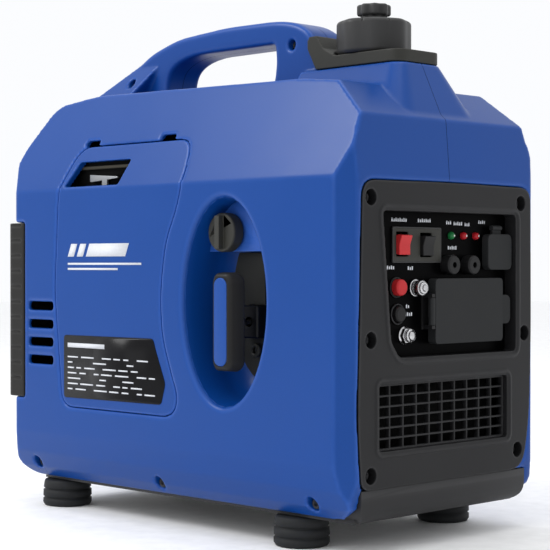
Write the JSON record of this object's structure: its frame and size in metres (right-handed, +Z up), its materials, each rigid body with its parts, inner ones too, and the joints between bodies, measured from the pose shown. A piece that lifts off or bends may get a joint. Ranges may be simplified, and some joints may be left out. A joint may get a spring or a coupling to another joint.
{
  "type": "inverter generator",
  "caption": "Suitcase inverter generator with a two-half shell, grab handle, recoil starter, control panel, fuel cap, side door and internal engine.",
  "frame": {"origin": "middle of the overall box's base, on the floor under the feet", "axes": "+Z up, +X towards the control panel end, -Y towards the side with the starter and the maintenance door"},
  "size_m": [0.386, 0.215, 0.39],
  "materials": {
    "blue_plastic": "satin moulded",
    "grey_plastic": "fine-grained",
    "black_plastic": "satin",
    "black_rubber": "matte",
    "red_plastic": "gloss",
    "green_lens": "clear tinted",
    "red_lens": "clear tinted",
    "steel": "plated",
    "alloy": "as cast",
    "copper_winding": "varnished",
    "ceramic": "glazed",
    "foam": "open cell",
    "rope": "braided",
    "yellow_plastic": "satin"
  },
  "bodies": {
    "housing": {"shell_left": "blue_plastic", "shell_right": "blue_plastic", "starter_bowl": "blue_plastic", "front_bezel": "grey_plastic", "bottom_tray": "grey_plastic", "rear_louvre": "grey_plastic", "filler_surround": "grey_plastic", "switch_plate": "grey_plastic", "control_panel": "black_plastic", "front_grille": "black_plastic", "rope_guide": "black_plastic", "outlet_body": "black_plastic", "dc_socket": "black_plastic", "parallel_socket_1": "black_plastic", "parallel_socket_2": "black_plastic", "fuel_tank": "black_plastic", "air_filter_box": "black_plastic", "foot_front_left": "black_rubber", "foot_front_right": "black_rubber", "foot_rear_left": "black_rubber", "foot_rear_right": "black_rubber", "spark_plug_cap": "black_rubber", "output_lamp": "green_lens", "overload_lamp": "red_lens", "oil_lamp": "red_lens", "ground_terminal": "steel", "service_terminal": "steel", "muffler": "steel", "exhaust_pipe": "steel", "crankcase": "alloy", "cylinder": "alloy", "cylinder_head": "alloy", "valve_cover": "alloy", "recoil_housing": "alloy", "carburettor": "alloy", "fuel_valve": "alloy", "inverter_module": "alloy", "stator": "copper_winding", "spark_plug": "ceramic", "air_filter_element": "foam"},
    "door": {"maintenance_door": "blue_plastic"},
    "cap_seal": {"cap_gasket": "black_rubber"},
    "cap": {"fuel_cap": "grey_plastic"},
    "vent_valve": {"vent_knob": "black_plastic"},
    "pull": {"starter_grip": "black_plastic", "grip_insert": "blue_plastic", "starter_rope": "rope"},
    "pulley": {"recoil_pulley": "black_plastic"},
    "crank": {"crankshaft": "steel", "flywheel_fan": "alloy"},
    "fuel_tap": {"fuel_valve_knob": "black_plastic"},
    "ignition_rocker": {"engine_switch": "red_plastic"},
    "eco_rocker": {"eco_switch": "black_plastic"},
    "reset": {"reset_button": "red_plastic"},
    "breaker": {"breaker_button": "black_plastic"},
    "wing_nut": {"ground_nut": "steel"},
    "ac_cover": {"outlet_cover": "black_rubber"},
    "dc_flap": {"dc_cover": "black_rubber"},
    "dipstick_cap": {"oil_cap": "yellow_plastic"},
    "choke": {"choke_lever": "steel"}
  },
  "joints": [
    {"name": "door_hinge", "type": "hinge", "parent": "housing", "child": "door", "pos_m": [-0.05, -0.09342, 0.2892], "axis": [-1, 0, 0], "range_deg": [0, 80]},
    {"name": "cap_lift", "type": "slide", "parent": "housing", "child": "cap_seal", "axis": [0, 0, 1], "range_m": [0, 0.06]},
    {"name": "cap_turn", "type": "hinge", "parent": "cap_seal", "child": "cap", "pos_m": [0.12, 0, 0.3505], "axis": [0, 0, 1], "range_deg": [0, 270]},
    {"name": "vent_turn", "type": "hinge", "parent": "cap", "child": "vent_valve", "pos_m": [0.12, 0, 0.3758], "axis": [0, 0, -1], "range_deg": [0, 90]},
    {"name": "starter_pull", "type": "slide", "parent": "housing", "child": "pull", "axis": [0, -1, 0], "range_m": [0, 0.5], "stiffness_N_per_m": 30, "deforming": ["starter_rope"]},
    {"name": "recoil_spin", "type": "hinge", "parent": "housing", "child": "pulley", "pos_m": [0.0645, 0, 0.1167], "axis": [1, 0, 0], "range_deg": [0, 760]},
    {"name": "crank_spin", "type": "hinge", "parent": "housing", "child": "crank", "pos_m": [0.02, 0, 0.1167], "axis": [1, 0, 0], "continuous": true},
    {"name": "fuel_tap_turn", "type": "hinge", "parent": "housing", "child": "fuel_tap", "pos_m": [0.06, -0.098, 0.22], "axis": [0, -1, 0], "range_deg": [0, 90]},
    {"name": "engine_switch_rock", "type": "hinge", "parent": "housing", "child": "ignition_rocker", "pos_m": [0.1815, -0.0405, 0.211], "axis": [0, -1, 0], "range_deg": [0, 18]},
    {"name": "eco_switch_rock", "type": "hinge", "parent": "housing", "child": "eco_rocker", "pos_m": [0.1815, -0.015, 0.2105], "axis": [0, -1, 0], "range_deg": [0, 18]},
    {"name": "reset_press", "type": "slide", "parent": "housing", "child": "reset", "axis": [-1, 0, 0], "range_m": [0, 0.0025], "stiffness_N_per_m": 400},
    {"name": "breaker_press", "type": "slide", "parent": "housing", "child": "breaker", "axis": [-1, 0, 0], "range_m": [0, 0.0025], "stiffness_N_per_m": 400},
    {"name": "ground_nut_turn", "type": "hinge", "parent": "housing", "child": "wing_nut", "pos_m": [0.181, -0.0265, 0.1805], "axis": [1, 0, 0], "continuous": true},
    {"name": "ac_cover_swing", "type": "hinge", "parent": "housing", "child": "ac_cover", "pos_m": [0.1893, -0.0168, 0.164], "axis": [0, 0, -1], "range_deg": [0, 105]},
    {"name": "dc_cover_swing", "type": "hinge", "parent": "housing", "child": "dc_flap", "pos_m": [0.1852, 0.061, 0.2235], "axis": [0, -1, 0], "range_deg": [0, 105]},
    {"name": "oil_cap_turn", "type": "hinge", "parent": "housing", "child": "dipstick_cap", "pos_m": [-0.023, -0.045, 0.086], "axis": [0, -1, 0], "range_deg": [0, 360]},
    {"name": "choke_slide", "type": "slide", "parent": "housing", "child": "choke", "axis": [1, 0, 0], "range_m": [0, 0.018]}
  ],
  "couplings": [
    {"joint": "recoil_spin", "follows": "starter_pull", "rad_per_m": 26.11}
  ]
}
